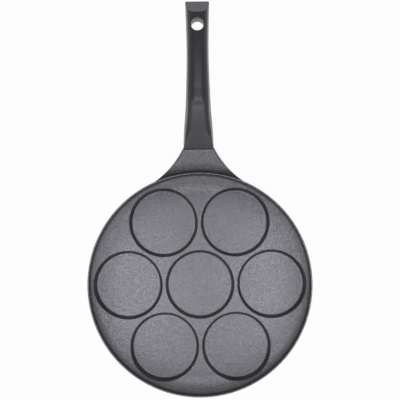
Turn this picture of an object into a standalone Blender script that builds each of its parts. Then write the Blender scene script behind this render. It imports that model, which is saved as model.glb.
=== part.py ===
# Pancake pan: a cast aluminium pan with seven wells, whose flared neck carries a moulded handle.
# Metres, +Z up. The origin is the centre of the flat base and the handle points along +Y.

import math

import bmesh
import bpy
from mathutils import Matrix, Vector

# Gaps between separate pieces
SEAT_GAP = 0.0003
JOINT_GAP = 0.0003

# Pan: overall size, base and outer wall
RIM_RADIUS = 0.1300
PAN_HEIGHT = 0.0170
BASE_INSET = 0.0170
BASE_STEP = 0.0006
HEEL_RADIUS = 0.0100
WALL_DRAFT = math.radians(8.0)

# Pan: rim lip, the small step inside it and the dished edge below the step
RIM_LAND = 0.0006
RIM_ROUND = 0.0006
RIM_STEP_DROP = 0.0020
RIM_STEP_SLOPE = 0.0005
DISH_WIDTH = 0.0220

# Pan: floor and wells, six in a ring round a seventh
FLOOR_THICKNESS = 0.0045
WELL_DEPTH = 0.0060
WELL_RIM_MARGIN = 0.0064
WELL_WEB = 0.0030
WELL_RING_COUNT = 6
WELL_DRAFT = math.radians(26.0)
WELL_EDGE_ROUND = 0.0005
WELL_FLOOR_ROUND = 0.0008

# Neck: cast in one with the pan, from its root on the outer wall to the joint with the handle
NECK_LENGTH = 0.0289
JOINT_HEIGHT = 0.01375
JOINT_TILT = math.radians(20.0)
JOINT_HALF_WIDTH = 0.0177
JOINT_HALF_HEIGHT = 0.0075
JOINT_CORNER_RISE = 0.0008
NECK_SPREAD = math.radians(31.0)
NECK_FLARE_AT_JOINT = math.radians(27.2)
NECK_CROSSING = math.radians(5.5)
NECK_TOP = 0.0136
NECK_BOTTOM = 0.0040
NECK_BURY = 0.0020
NECK_FALL = 0.0030
NECK_FALL_RUN = 0.0110
NECK_FALL_POWER = 2.0
NECK_TOP_RISE = math.radians(14.0)
NECK_TOP_ROOT_RISE = math.radians(15.0)
NECK_BOTTOM_RISE = math.radians(6.0)
NECK_BOTTOM_ROOT_RISE = math.radians(2.0)
NECK_CURVE_PULL = 0.365

# Neck: the hollow cast into its underside, with a rib along the middle
CORE_SKIN = 0.0040
CORE_HALF_WIDTH = 0.0138
CORE_DRAFT = 0.0012
CORE_START = 0.17
CORE_END = 1.12
CORE_ROUND = 0.0012
RIB_WIDTH = 0.0032

# Tang: the square end of the neck, inside the handle
TANG_WIDTH = 0.0180
TANG_THICKNESS = 0.0058
TANG_LENGTH = 0.0360
TANG_LIFT = 0.0020
TANG_ROUND = 0.0012
TANG_END_ROOM = 0.0010

# Handle: an arched bar swept along an arc that starts at the joint
HANDLE_LENGTH = 0.1694
HANDLE_ARC_RADIUS = 0.3720
SHOULDER_DISTANCE = 0.0200
SHOULDER_HALF_WIDTH = 0.01655
GRIP_DISTANCE = 0.0480
GRIP_HALF_WIDTH = 0.0143
GRIP_CROWN = 0.0110
WAIST_DISTANCE = 0.1110
WAIST_HALF_WIDTH = 0.01245
WAIST_CROWN = 0.0092
END_HALF_WIDTH = 0.0137
END_CROWN = 0.0090
GRIP_DEPTH = 0.0093
END_DEPTH = 0.0090
JOINT_WIDEST_LEVEL = -0.0010
END_WIDEST_LEVEL = -0.0030
JOINT_SQUARENESS = 8.0
ARCH_ROUNDNESS = 2.5
ARCH_DISTANCE = 0.0290
UNDERSIDE_SQUARENESS = 5.0
END_SLANT = math.radians(47.0)
END_SLANT_RUN = 0.0400

# Handle: thumb rest, a scoop through the crown that runs out to the joint
THUMB_REST_LENGTH = 0.0535
THUMB_REST_SHALLOWEST = 0.0160
THUMB_REST_SKIM = 0.0003
THUMB_REST_DEEPEST = 0.0400
THUMB_REST_DEPTH = 0.0010

# Handle: hanging hole
HANG_HOLE_RADIUS = 0.00705
HANG_HOLE_SETBACK = 0.0322

# Screw and washers
SCREW_DISTANCE = 0.0260
SCREW_RADIUS = 0.0025
SCREW_LENGTH = 0.0100
SCREW_TIP_CHAMFER = 0.0005
HEAD_RADIUS = 0.00475
HEAD_HEIGHT = 0.00275
HEAD_ROUND = 0.0012
RECESS_WIDTH = 0.0008
RECESS_SPAN = 0.0052
RECESS_DEPTH = 0.0016
FLAT_WASHER_RADIUS = 0.0050
FLAT_WASHER_THICKNESS = 0.0010
SPRING_WASHER_RADIUS = 0.0044
SPRING_WASHER_THICKNESS = 0.0012
SPRING_WASHER_SPLIT = 0.0009
SPRING_WASHER_SPLIT_SLANT = math.radians(20.0)
HEAD_SINK = 0.0003
COUNTERBORE_CLEARANCE = 0.0006

# Smoothness of the faceted surfaces
PAN_STEPS = 96
DISH_STEPS = 5
RIM_STEPS = 2
HEEL_STEPS = 6
WELL_STEPS = 48
WELL_FLOOR_STEPS = 3
RING_POINTS = 32
NECK_STATIONS = 12
CORE_STATIONS = 7
HANDLE_STATIONS = 30
THUMB_REST_STEPS = 14
BORE_STEPS = 32
SCREW_STEPS = 24
HEAD_STEPS = 3
EDGE_SEGMENTS = 2

# How far cutters run on past what they cut
OVERSHOOT = 0.0040

# Levels, radii and lengths that follow from the sizes above
BASE_RADIUS = RIM_RADIUS - BASE_INSET
PLATE_LEVEL = FLOOR_THICKNESS + WELL_DEPTH
STEP_FOOT_LEVEL = PAN_HEIGHT - RIM_STEP_DROP
STEP_TOP_RADIUS = RIM_RADIUS - RIM_LAND - 2 * RIM_ROUND
STEP_FOOT_RADIUS = STEP_TOP_RADIUS - RIM_STEP_SLOPE
PLATE_RADIUS = STEP_FOOT_RADIUS - DISH_WIDTH
WELL_RADIUS = (RIM_RADIUS - WELL_RIM_MARGIN - WELL_WEB) / 3
WELL_PITCH = 2 * WELL_RADIUS + WELL_WEB
JOINT_REACH = RIM_RADIUS + NECK_LENGTH


def new_collection(name):
    collection = bpy.data.collections.new(name)
    bpy.context.scene.collection.children.link(collection)
    return collection


def new_material(name, color, roughness, metallic):
    material = bpy.data.materials.new(name)
    material.use_nodes = True
    shader = material.node_tree.nodes["Principled BSDF"]
    shader.inputs["Base Color"].default_value = (*color, 1.0)
    shader.inputs["Roughness"].default_value = roughness
    shader.inputs["Metallic"].default_value = metallic
    return material


def coating_material():
    return new_material("speckled_coating", (0.12, 0.12, 0.13), 0.45, 0.1)


def phenolic_material():
    return new_material("black_phenolic", (0.02, 0.02, 0.023), 0.35, 0.0)


def steel_material():
    return new_material("zinc_plated_steel", (0.55, 0.55, 0.56), 0.3, 1.0)


def add_object(name, mesh, collection, material=None, parent=None):
    obj = bpy.data.objects.new(name, mesh)
    collection.objects.link(obj)
    if material:
        mesh.materials.append(material)
    if parent:
        obj.parent = parent
    return obj


def mesh_from_bmesh(name, bm):
    bmesh.ops.recalc_face_normals(bm, faces=bm.faces[:])
    mesh = bpy.data.meshes.new(name)
    bm.to_mesh(mesh)
    bm.free()
    mesh.shade_smooth()
    return mesh


def hide_cutter(obj):
    obj.hide_render = True
    obj.display_type = "WIRE"
    return obj


def add_boolean(obj, other, operation):
    modifier = obj.modifiers.new(f"{operation.lower()}_{other.name}", "BOOLEAN")
    modifier.operation = operation
    modifier.object = other
    modifier.solver = "EXACT"


def turned_object(name, profile, steps, collection, material=None, parent=None, ring=False):
    """A profile of (radius, height) points, turned about its own Z axis. A ring's profile is closed."""
    mesh = bpy.data.meshes.new(name)
    points = [(radius, 0.0, height) for radius, height in profile]
    edges = [(i, i + 1) for i in range(len(points) - 1)]
    if ring:
        edges.append((len(points) - 1, 0))
    mesh.from_pydata(points, edges, [])
    obj = add_object(name, mesh, collection, material, parent)
    screw = obj.modifiers.new("turn", "SCREW")
    screw.steps = steps
    screw.render_steps = steps
    screw.use_merge_vertices = True
    screw.merge_threshold = 0.00001
    screw.use_smooth_shade = True
    return obj


def as_mesh(obj):
    """The mesh of an object with its modifiers applied."""
    graph = bpy.context.evaluated_depsgraph_get()
    return bpy.data.meshes.new_from_object(obj.evaluated_get(graph))


def arc_points(center, radius, start, end, steps):
    """Points on an arc, with both ends, for angles from +X towards +Z."""
    return [
        (
            center[0] + radius * math.cos(start + (end - start) * i / steps),
            center[1] + radius * math.sin(start + (end - start) * i / steps),
        )
        for i in range(steps + 1)
    ]


def smooth_step(value):
    value = min(max(value, 0.0), 1.0)
    return value * value * (3 - 2 * value)


def spline(knots, at):
    """A smooth curve through (position, value) knots, with no overshoot at a turning point."""
    spans = [(b[1] - a[1]) / (b[0] - a[0]) for a, b in zip(knots, knots[1:])]
    slopes = [spans[0]]
    for before, after in zip(spans, spans[1:]):
        slopes.append(0.0 if before * after <= 0 else 2 * before * after / (before + after))
    slopes.append(spans[-1])
    at = min(max(at, knots[0][0]), knots[-1][0])
    i = max(k for k in range(len(knots) - 1) if knots[k][0] <= at)
    width = knots[i + 1][0] - knots[i][0]
    t = (at - knots[i][0]) / width
    start = (1 + 2 * t) * (1 - t) ** 2 * knots[i][1] + t * (1 - t) ** 2 * width * slopes[i]
    end = t * t * (3 - 2 * t) * knots[i + 1][1] + t * t * (t - 1) * width * slopes[i + 1]
    return start + end


def lofted_mesh(name, rings):
    """Rings of equal point counts joined by faces and closed at both ends."""
    bm = bmesh.new()
    rows = [[bm.verts.new(point) for point in ring] for ring in rings]
    count = len(rows[0])
    for row, following in zip(rows, rows[1:]):
        for i in range(count):
            j = (i + 1) % count
            bm.faces.new((row[i], row[j], following[j], following[i]))
    for row in (rows[0], rows[-1]):
        close_ring(bm, row)
    return mesh_from_bmesh(name, bm)


def close_ring(bm, row):
    """Upright strips across a ring, so that a ring bent round the pan's wall is closed along the wall."""
    count = len(row)
    bm.faces.new((row[-1], row[0], row[1]))
    for i in range(1, count // 2 - 1):
        bm.faces.new((row[-i], row[i], row[i + 1], row[-i - 1]))
    bm.faces.new((row[count // 2 - 1], row[count // 2], row[count // 2 + 1]))


def dish_rise(radius):
    """How far the dished edge stands above the plate at this distance from the pan's axis."""
    rise = STEP_FOOT_LEVEL - PLATE_LEVEL
    curve = (DISH_WIDTH**2 + rise**2) / (2 * rise)
    run = min(max(radius - PLATE_RADIUS, 0.0), DISH_WIDTH)
    return curve - math.sqrt(curve**2 - run**2)


def heel_center():
    """Centre of the arc that rounds the outer wall into the underside."""
    level = BASE_STEP + HEEL_RADIUS
    drop = PAN_HEIGHT - RIM_ROUND - level
    reach = (HEEL_RADIUS + drop * math.sin(WALL_DRAFT)) / math.cos(WALL_DRAFT)
    return RIM_RADIUS - reach, level


def wall_radius(level):
    """Outside radius of the pan's wall at a height above the base."""
    center, middle = heel_center()
    wall_foot = middle - HEEL_RADIUS * math.sin(WALL_DRAFT)
    if level >= wall_foot:
        return RIM_RADIUS - (PAN_HEIGHT - RIM_ROUND - level) * math.tan(WALL_DRAFT)
    return center + math.sqrt(HEEL_RADIUS**2 - (middle - level) ** 2)


def pan_profile():
    """Half section of the pan, from the middle of the plate over the rim to the middle of the base."""
    dish = []
    for i in range(DISH_STEPS + 1):
        radius = PLATE_RADIUS + DISH_WIDTH * i / DISH_STEPS
        dish.append((radius, PLATE_LEVEL + dish_rise(radius)))
    rim_level = PAN_HEIGHT - RIM_ROUND
    inner_round = (STEP_TOP_RADIUS + RIM_ROUND, rim_level)
    outer_round = (RIM_RADIUS - RIM_ROUND, rim_level)
    rim = arc_points(inner_round, RIM_ROUND, math.pi, math.pi / 2, RIM_STEPS)
    rim += arc_points(outer_round, RIM_ROUND, math.pi / 2, 0.0, RIM_STEPS)
    heel = arc_points(heel_center(), HEEL_RADIUS, -WALL_DRAFT, -math.pi / 2, HEEL_STEPS)
    base = [(BASE_RADIUS + BASE_STEP, BASE_STEP), (BASE_RADIUS, 0.0), (0.0, 0.0)]
    return [(0.0, PLATE_LEVEL), *dish, *rim, *heel, *base]


def well_profile():
    """Half section of the space of a well, from above the pan down to the middle of its floor.

    Its round edge is made of two chamfers, and the upper one runs on past the plate.
    """
    turn = math.pi / 2 - WELL_DRAFT
    drop = (WELL_EDGE_ROUND + WELL_FLOOR_ROUND) * (1 - math.sin(WELL_DRAFT))
    draft_width = (WELL_DEPTH - drop) * math.tan(WELL_DRAFT)
    edge_width = WELL_EDGE_ROUND * math.cos(WELL_DRAFT)
    edge = arc_points(
        (WELL_RADIUS, PLATE_LEVEL - WELL_EDGE_ROUND),
        WELL_EDGE_ROUND,
        math.pi / 2 + turn / 2,
        math.pi / 2 + turn,
        1,
    )
    floor_middle = WELL_RADIUS - edge_width - draft_width - WELL_FLOOR_ROUND * math.cos(WELL_DRAFT)
    floor = arc_points(
        (floor_middle, FLOOR_THICKNESS + WELL_FLOOR_ROUND),
        WELL_FLOOR_ROUND,
        -WELL_DRAFT,
        -math.pi / 2,
        WELL_FLOOR_STEPS,
    )
    flare = turn / 4
    reach = WELL_EDGE_ROUND * math.sin(turn / 2)
    above = (
        edge[0][0] + (reach + WELL_EDGE_ROUND) * math.cos(flare),
        edge[0][1] + (reach + WELL_EDGE_ROUND) * math.sin(flare),
    )
    cap_level = PAN_HEIGHT + OVERSHOOT
    return [(0.0, cap_level), (above[0], cap_level), above, *edge, *floor, (0.0, FLOOR_THICKNESS)]


def well_cutter(name, angle, pitch, collection):
    """The space of one well. Its edge climbs with the dished edge where it reaches that far."""
    blank = turned_object(name + "_blank", well_profile(), WELL_STEPS, collection)
    mesh = as_mesh(blank)
    bpy.data.objects.remove(blank)
    wall_top = PLATE_LEVEL - WELL_EDGE_ROUND
    for vertex in mesh.vertices:
        if wall_top <= vertex.co.z < PAN_HEIGHT + OVERSHOOT / 2:
            from_axis = math.hypot(vertex.co.x + pitch, vertex.co.y)
            vertex.co.z += dish_rise(from_axis)
    mesh.name = name
    cutter = hide_cutter(add_object(name, mesh, collection))
    cutter.matrix_world = Matrix.Rotation(angle, 4, "Z") @ Matrix.Translation((pitch, 0.0, 0.0))
    return cutter


def well_cutters(collection):
    well_cutter("well_middle", 0.0, 0.0, collection)
    for i in range(WELL_RING_COUNT):
        well_cutter(f"well_ring_{i + 1}", 2 * math.pi * i / WELL_RING_COUNT, WELL_PITCH, collection)


def squarish_section(half_width, crown, depth, widest, top_power, bottom_power):
    """A ring of (x, height) points: an upper and a lower superellipse that share their widest level."""
    ring = []
    for i in range(RING_POINTS):
        turn = 2 * math.pi * i / RING_POINTS
        power = top_power if math.sin(turn) >= 0 else bottom_power
        span = crown - widest if math.sin(turn) >= 0 else widest + depth
        across = math.copysign(abs(math.cos(turn)) ** (2 / power), math.cos(turn))
        along = math.copysign(abs(math.sin(turn)) ** (2 / power), math.sin(turn))
        ring.append((half_width * across, widest + span * along))
    return ring


def joint_section():
    """The neck's section at the joint, flat on top where the thumb rest begins."""
    ring = squarish_section(
        JOINT_HALF_WIDTH,
        JOINT_HALF_HEIGHT + JOINT_CORNER_RISE,
        JOINT_HALF_HEIGHT,
        JOINT_WIDEST_LEVEL,
        JOINT_SQUARENESS,
        UNDERSIDE_SQUARENESS,
    )
    return [(x, min(height, JOINT_HALF_HEIGHT)) for x, height in ring]


def joint_frame():
    """Placement of the joint: local Y leaves the pan along the tang, local Z is square to it."""
    place = Matrix.Translation((0.0, JOINT_REACH, JOINT_HEIGHT))
    return place @ Matrix.Rotation(JOINT_TILT, 4, "X")


def neck_point(x, height, t, frame):
    """A point of the neck on the strand through (x, height) of the joint's face.

    t is 0 at the joint's face and 1 inside the pan's wall.
    """
    side = x / JOINT_HALF_WIDTH
    upness = (height + JOINT_HALF_HEIGHT) / (2 * JOINT_HALF_HEIGHT)
    level = NECK_BOTTOM + (NECK_TOP - NECK_BOTTOM) * upness
    angle = NECK_SPREAD * side
    radius = wall_radius(level) - NECK_BURY
    start = frame @ Vector((x, -JOINT_GAP / 2, height))
    end = Vector((radius * math.sin(angle), radius * math.cos(angle), level))
    leaving = NECK_FLARE_AT_JOINT * side
    arriving = (math.pi / 2 - NECK_SPREAD - NECK_CROSSING) * side
    reach = NECK_CURVE_PULL * (start - end).length
    rise = NECK_BOTTOM_RISE + (NECK_TOP_RISE - NECK_BOTTOM_RISE) * upness
    root_rise = NECK_BOTTOM_ROOT_RISE + (NECK_TOP_ROOT_RISE - NECK_BOTTOM_ROOT_RISE) * upness
    first = start + reach * Vector((math.sin(leaving), -math.cos(leaving), -math.tan(rise)))
    second = end - reach * Vector((math.sin(arriving), -math.cos(arriving), -math.tan(root_rise)))
    point = (1 - t) ** 3 * start
    point += 3 * t * (1 - t) ** 2 * first
    point += 3 * t * t * (1 - t) * second
    point += t**3 * end
    return point


def rolled_over(point, height):
    """The same point, lowered where the neck's upper side rolls over and falls to the pan's wall."""
    gap = math.hypot(point.x, point.y) - RIM_RADIUS
    nearness = 1 - min(max(gap / NECK_FALL_RUN, 0.0), 1.0)
    fall = NECK_FALL * nearness**NECK_FALL_POWER
    return point - Vector((0.0, 0.0, fall * smooth_step(height / JOINT_HALF_HEIGHT)))


def core_ring(t, side, frame):
    """Section of one half of the hollow under the neck, with its ceiling one skin below the top."""
    ring = []
    corners = [(0.0, False), (0.33, False), (0.67, False), (1.0, False)]
    corners += [(share, True) for share, _ in reversed(corners)]
    for share, ceiling in corners:
        half = CORE_HALF_WIDTH - (CORE_DRAFT if ceiling else 0.0)
        top = rolled_over(neck_point(side * share * half, JOINT_HALF_HEIGHT, t, frame), JOINT_HALF_HEIGHT)
        bottom = neck_point(side * share * half, -JOINT_HALF_HEIGHT, t, frame)
        down = (bottom - top).normalized()
        point = top + down * CORE_SKIN if ceiling else bottom + down * OVERSHOOT
        if share == 0.0:
            point.x = side * RIB_WIDTH / 2
        ring.append(point)
    return ring


def core_cutter(name, side, frame, collection):
    """One half of the hollow under the neck, beside the rib."""
    rings = []
    for i in range(CORE_STATIONS + 1):
        rings.append(core_ring(CORE_START + (CORE_END - CORE_START) * i / CORE_STATIONS, side, frame))
    core = hide_cutter(add_object(name, lofted_mesh(name, rings), collection))
    bevel = core.modifiers.new("round", "BEVEL")
    bevel.width = CORE_ROUND
    bevel.segments = EDGE_SEGMENTS
    bevel.limit_method = "ANGLE"
    return core


def neck_object(frame, collection):
    """The flared neck: a loft from the joint's section to the pan's wall, hollow underneath."""
    rings = []
    for i in range(NECK_STATIONS + 1):
        # The stations lie closer together towards the root, where the surface turns most.
        t = smooth_step(0.5 + 0.5 * i / NECK_STATIONS) * 2 - 1
        section = joint_section()
        rings.append([rolled_over(neck_point(x, height, t, frame), height) for x, height in section])
    neck = hide_cutter(add_object("neck_form", lofted_mesh("neck_form", rings), collection))
    for name, side in (("neck_core_left", -1), ("neck_core_right", 1)):
        add_boolean(neck, core_cutter(name, side, frame, collection), "DIFFERENCE")
    return neck


def rounded_bar(name, size, center, edge, collection, parent):
    """A box with rounded edges, in the parent's frame."""
    bm = bmesh.new()
    bmesh.ops.create_cube(bm, size=1.0)
    bmesh.ops.scale(bm, vec=size, verts=bm.verts[:])
    bmesh.ops.translate(bm, vec=center, verts=bm.verts[:])
    obj = add_object(name, mesh_from_bmesh(name, bm), collection, parent=parent)
    if edge:
        bevel = obj.modifiers.new("round", "BEVEL")
        bevel.width = edge
        bevel.segments = EDGE_SEGMENTS
    return hide_cutter(obj)


def tang_object(collection, parent):
    length = TANG_LENGTH + OVERSHOOT
    center = (0.0, (TANG_LENGTH - OVERSHOOT) / 2, TANG_LIFT)
    size = (TANG_WIDTH, length, TANG_THICKNESS)
    return rounded_bar("tang_form", size, center, TANG_ROUND, collection, parent)


def socket_cutter(collection, parent):
    """The room for the tang inside the handle, with clearance all round."""
    length = TANG_LENGTH + TANG_END_ROOM + OVERSHOOT
    center = (0.0, (TANG_LENGTH + TANG_END_ROOM - OVERSHOOT) / 2, TANG_LIFT)
    size = (TANG_WIDTH + 2 * SEAT_GAP, length, TANG_THICKNESS + 2 * SEAT_GAP)
    return rounded_bar("socket_space", size, center, TANG_ROUND, collection, parent)


def path_point(distance, height, x=0.0):
    """A point of the handle in the joint's frame, from its distance along the arc and its height."""
    turn = distance / HANDLE_ARC_RADIUS
    along = HANDLE_ARC_RADIUS * math.sin(turn) + height * math.sin(turn)
    up = height * math.cos(turn) - HANDLE_ARC_RADIUS * (1 - math.cos(turn))
    return Vector((x, along, up))


def handle_half_width(distance):
    knots = [
        (0.0, JOINT_HALF_WIDTH),
        (SHOULDER_DISTANCE, SHOULDER_HALF_WIDTH),
        (GRIP_DISTANCE, GRIP_HALF_WIDTH),
        (WAIST_DISTANCE, WAIST_HALF_WIDTH),
        (HANDLE_LENGTH, END_HALF_WIDTH),
    ]
    return spline(knots, distance)


def handle_crown(distance):
    """Height of the arch above the handle's middle line, before the thumb rest is cut."""
    knots = [
        (0.0, JOINT_HALF_HEIGHT + JOINT_CORNER_RISE),
        (GRIP_DISTANCE, GRIP_CROWN),
        (WAIST_DISTANCE, WAIST_CROWN),
        (HANDLE_LENGTH, END_CROWN),
    ]
    return spline(knots, distance)


def handle_depth(distance):
    """Depth of the underside below the handle's middle line."""
    knots = [
        (0.0, JOINT_HALF_HEIGHT),
        (SCREW_DISTANCE, GRIP_DEPTH),
        (WAIST_DISTANCE, END_DEPTH),
        (HANDLE_LENGTH, END_DEPTH),
    ]
    return spline(knots, distance)


def handle_section(distance):
    arch = smooth_step(distance / ARCH_DISTANCE)
    level = smooth_step(distance / WAIST_DISTANCE)
    return squarish_section(
        handle_half_width(distance),
        handle_crown(distance),
        handle_depth(distance),
        JOINT_WIDEST_LEVEL + (END_WIDEST_LEVEL - JOINT_WIDEST_LEVEL) * level,
        JOINT_SQUARENESS + (ARCH_ROUNDNESS - JOINT_SQUARENESS) * arch,
        UNDERSIDE_SQUARENESS,
    )


def handle_ring(distance):
    """One ring of the handle's skin. Near the end the rings lean back until they lie in the slanted end."""
    lean = math.tan(END_SLANT) * smooth_step(1 - (HANDLE_LENGTH - distance) / END_SLANT_RUN)
    ring = []
    for i, (_, height) in enumerate(handle_section(distance)):
        back = lean * (height + handle_depth(distance))
        x, height = handle_section(distance - back)[i]
        ring.append(path_point(distance - back, height, x))
    return ring


def thumb_rest_height(distance):
    """Height of the thumb rest above the handle's middle line."""
    knots = [
        (0.0, JOINT_CORNER_RISE),
        (THUMB_REST_SHALLOWEST, THUMB_REST_SKIM),
        (THUMB_REST_DEEPEST, THUMB_REST_DEPTH),
        (THUMB_REST_LENGTH, 0.0),
        (THUMB_REST_LENGTH + OVERSHOOT, -THUMB_REST_DEPTH),
    ]
    return handle_crown(distance) - spline(knots, distance)


def thumb_rest_cutter(collection, parent):
    """Everything above the thumb rest, as a slab with a curved underside."""
    line = []
    for i in range(THUMB_REST_STEPS + 1):
        distance = (THUMB_REST_LENGTH + OVERSHOOT) * i / THUMB_REST_STEPS
        line.append(path_point(distance, thumb_rest_height(distance)))
    first_span = line[1] - line[0]
    start = line[0] - first_span * (OVERSHOOT / first_span.y)
    roof = max(point.z for point in line) + OVERSHOOT
    outline = [start, *line, Vector((0.0, line[-1].y, roof)), Vector((0.0, start.y, roof))]
    reach = JOINT_HALF_WIDTH + OVERSHOOT
    bm = bmesh.new()
    face = bm.faces.new([bm.verts.new((-reach, point.y, point.z)) for point in outline])
    grown = bmesh.ops.extrude_face_region(bm, geom=[face])
    moved = [item for item in grown["geom"] if isinstance(item, bmesh.types.BMVert)]
    bmesh.ops.translate(bm, vec=(2 * reach, 0.0, 0.0), verts=moved)
    mesh = mesh_from_bmesh("thumb_rest_space", bm)
    return hide_cutter(add_object("thumb_rest_space", mesh, collection, parent=parent))


def hang_hole_cutter(frame, collection):
    """The hanging hole, upright when the pan stands on its base."""
    at = frame @ path_point(HANDLE_LENGTH - HANG_HOLE_SETBACK, 0.0)
    half = handle_crown(HANDLE_LENGTH) + handle_depth(HANDLE_LENGTH)
    profile = [
        (0.0, half),
        (HANG_HOLE_RADIUS, half),
        (HANG_HOLE_RADIUS, -half),
        (0.0, -half),
    ]
    cutter = turned_object("hang_hole_space", profile, BORE_STEPS, collection)
    cutter.location = at
    return hide_cutter(cutter)


def underside_level():
    """Level of the handle's underside at the screw, in the joint's frame."""
    return path_point(SCREW_DISTANCE, -handle_depth(SCREW_DISTANCE)).z


def screw_levels():
    """Levels in the joint's frame: underside of the head, of the spring washer and of the flat washer."""
    head_seat = underside_level() + HEAD_SINK + HEAD_HEIGHT
    spring = head_seat + SEAT_GAP
    flat = spring + SPRING_WASHER_THICKNESS + SEAT_GAP
    return head_seat, spring, flat


def screw_hole_cutter(collection, parent):
    """Counterbore and clearance hole in the handle's underside."""
    _, _, flat = screw_levels()
    shelf = flat + FLAT_WASHER_THICKNESS + SEAT_GAP
    bore = FLAT_WASHER_RADIUS + COUNTERBORE_CLEARANCE
    hole = SCREW_RADIUS + SEAT_GAP
    mouth = underside_level() - OVERSHOOT
    profile = [
        (0.0, TANG_LIFT),
        (hole, TANG_LIFT),
        (hole, shelf),
        (bore, shelf),
        (bore, mouth),
        (0.0, mouth),
    ]
    cutter = turned_object("screw_hole_space", profile, BORE_STEPS, collection, parent=parent)
    cutter.location = (0.0, SCREW_DISTANCE, 0.0)
    return hide_cutter(cutter)


def tapped_hole_cutter(collection, parent):
    """Hole through the tang for the screw's thread."""
    hole = SCREW_RADIUS + SEAT_GAP
    half = TANG_THICKNESS / 2 + OVERSHOOT
    profile = [(0.0, half), (hole, half), (hole, -half), (0.0, -half)]
    cutter = turned_object("tapped_hole_space", profile, BORE_STEPS, collection, parent=parent)
    cutter.location = (0.0, SCREW_DISTANCE, TANG_LIFT)
    return hide_cutter(cutter)


def pan_body(frame, joint, parts, cutters, wells):
    body = turned_object("pan_body", pan_profile(), PAN_STEPS, parts, coating_material())
    add_boolean(body, neck_object(frame, cutters), "UNION")
    add_boolean(body, tang_object(cutters, joint), "UNION")
    well_cutters(wells)
    cut = body.modifiers.new("wells", "BOOLEAN")
    cut.operation = "DIFFERENCE"
    cut.operand_type = "COLLECTION"
    cut.collection = wells
    cut.solver = "EXACT"
    add_boolean(body, tapped_hole_cutter(cutters, joint), "DIFFERENCE")
    return body


def handle(frame, joint, parts, cutters):
    start = JOINT_GAP / 2
    rings = []
    for i in range(HANDLE_STATIONS + 1):
        rings.append(handle_ring(start + (HANDLE_LENGTH - start) * i / HANDLE_STATIONS))
    mesh = lofted_mesh("handle", rings)
    body = add_object("handle", mesh, parts, phenolic_material(), joint)
    add_boolean(body, thumb_rest_cutter(cutters, joint), "DIFFERENCE")
    add_boolean(body, socket_cutter(cutters, joint), "DIFFERENCE")
    add_boolean(body, screw_hole_cutter(cutters, joint), "DIFFERENCE")
    add_boolean(body, hang_hole_cutter(frame, cutters), "DIFFERENCE")
    return body


def recess_cutters(collection, parent, level):
    """The two crossed arms of the drive recess in the screw's head."""
    arms = []
    for i in range(2):
        size = (RECESS_SPAN, RECESS_WIDTH, RECESS_DEPTH + OVERSHOOT)
        center = (0.0, 0.0, (RECESS_DEPTH - OVERSHOOT) / 2)
        arm = rounded_bar(f"drive_arm_{i + 1}", size, center, 0.0, collection, parent)
        arm.location = (0.0, SCREW_DISTANCE, level)
        arm.rotation_euler = (0.0, 0.0, i * math.pi / 2)
        arms.append(arm)
    return arms


def handle_screw(joint, parts, cutters, material):
    """Pan-head machine screw, head down, driven up into the tang."""
    head_seat, _, _ = screw_levels()
    head_end = head_seat - HEAD_HEIGHT
    tip = head_seat + SCREW_LENGTH
    head_round = (HEAD_RADIUS - HEAD_ROUND, head_end + HEAD_ROUND)
    profile = [
        (0.0, tip),
        (SCREW_RADIUS - SCREW_TIP_CHAMFER, tip),
        (SCREW_RADIUS, tip - SCREW_TIP_CHAMFER),
        (SCREW_RADIUS, head_seat),
        (HEAD_RADIUS, head_seat),
        *arc_points(head_round, HEAD_ROUND, 0.0, -math.pi / 2, HEAD_STEPS),
        (0.0, head_end),
    ]
    screw = turned_object("handle_screw", profile, SCREW_STEPS, parts, material, joint)
    screw.location = (0.0, SCREW_DISTANCE, 0.0)
    for arm in recess_cutters(cutters, joint, head_end):
        add_boolean(screw, arm, "DIFFERENCE")
    return screw


def washer_object(name, outer, level, thickness, parts, material, joint):
    """A flat ring round the screw."""
    inner = SCREW_RADIUS + SEAT_GAP
    top = level + thickness
    profile = [(inner, top), (outer, top), (outer, level), (inner, level)]
    washer = turned_object(name, profile, SCREW_STEPS, parts, material, joint, ring=True)
    washer.location = (0.0, SCREW_DISTANCE, 0.0)
    return washer


def flat_washer(joint, parts, material):
    _, _, level = screw_levels()
    thickness = FLAT_WASHER_THICKNESS
    return washer_object("flat_washer", FLAT_WASHER_RADIUS, level, thickness, parts, material, joint)


def spring_washer(joint, parts, cutters, material):
    """A washer with one slanted split."""
    _, level, _ = screw_levels()
    thickness = SPRING_WASHER_THICKNESS
    washer = washer_object("spring_washer", SPRING_WASHER_RADIUS, level, thickness, parts, material, joint)
    size = (SPRING_WASHER_RADIUS + OVERSHOOT, SPRING_WASHER_SPLIT, OVERSHOOT)
    center = (size[0] / 2, 0.0, 0.0)
    split = rounded_bar("split_space", size, center, 0.0, cutters, joint)
    split.location = (0.0, SCREW_DISTANCE, level + thickness / 2)
    split.rotation_euler = (SPRING_WASHER_SPLIT_SLANT, 0.0, 0.0)
    add_boolean(washer, split, "DIFFERENCE")
    return washer


def main():
    for obj in list(bpy.data.objects):
        bpy.data.objects.remove(obj, do_unlink=True)
    parts = new_collection("pancake_pan")
    cutters = new_collection("cutters")
    wells = new_collection("well_cutters")
    frame = joint_frame()
    joint = bpy.data.objects.new("handle_joint", None)
    joint.matrix_world = frame
    parts.objects.link(joint)
    pan_body(frame, joint, parts, cutters, wells)
    handle(frame, joint, parts, cutters)
    steel = steel_material()
    handle_screw(joint, parts, cutters, steel)
    spring_washer(joint, parts, cutters, steel)
    flat_washer(joint, parts, steel)


main()
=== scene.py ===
import math

import bmesh
import bpy
from mathutils import Matrix, Vector
from mathutils.bvhtree import BVHTree
from mathutils.geometry import delaunay_2d_cdt


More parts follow.
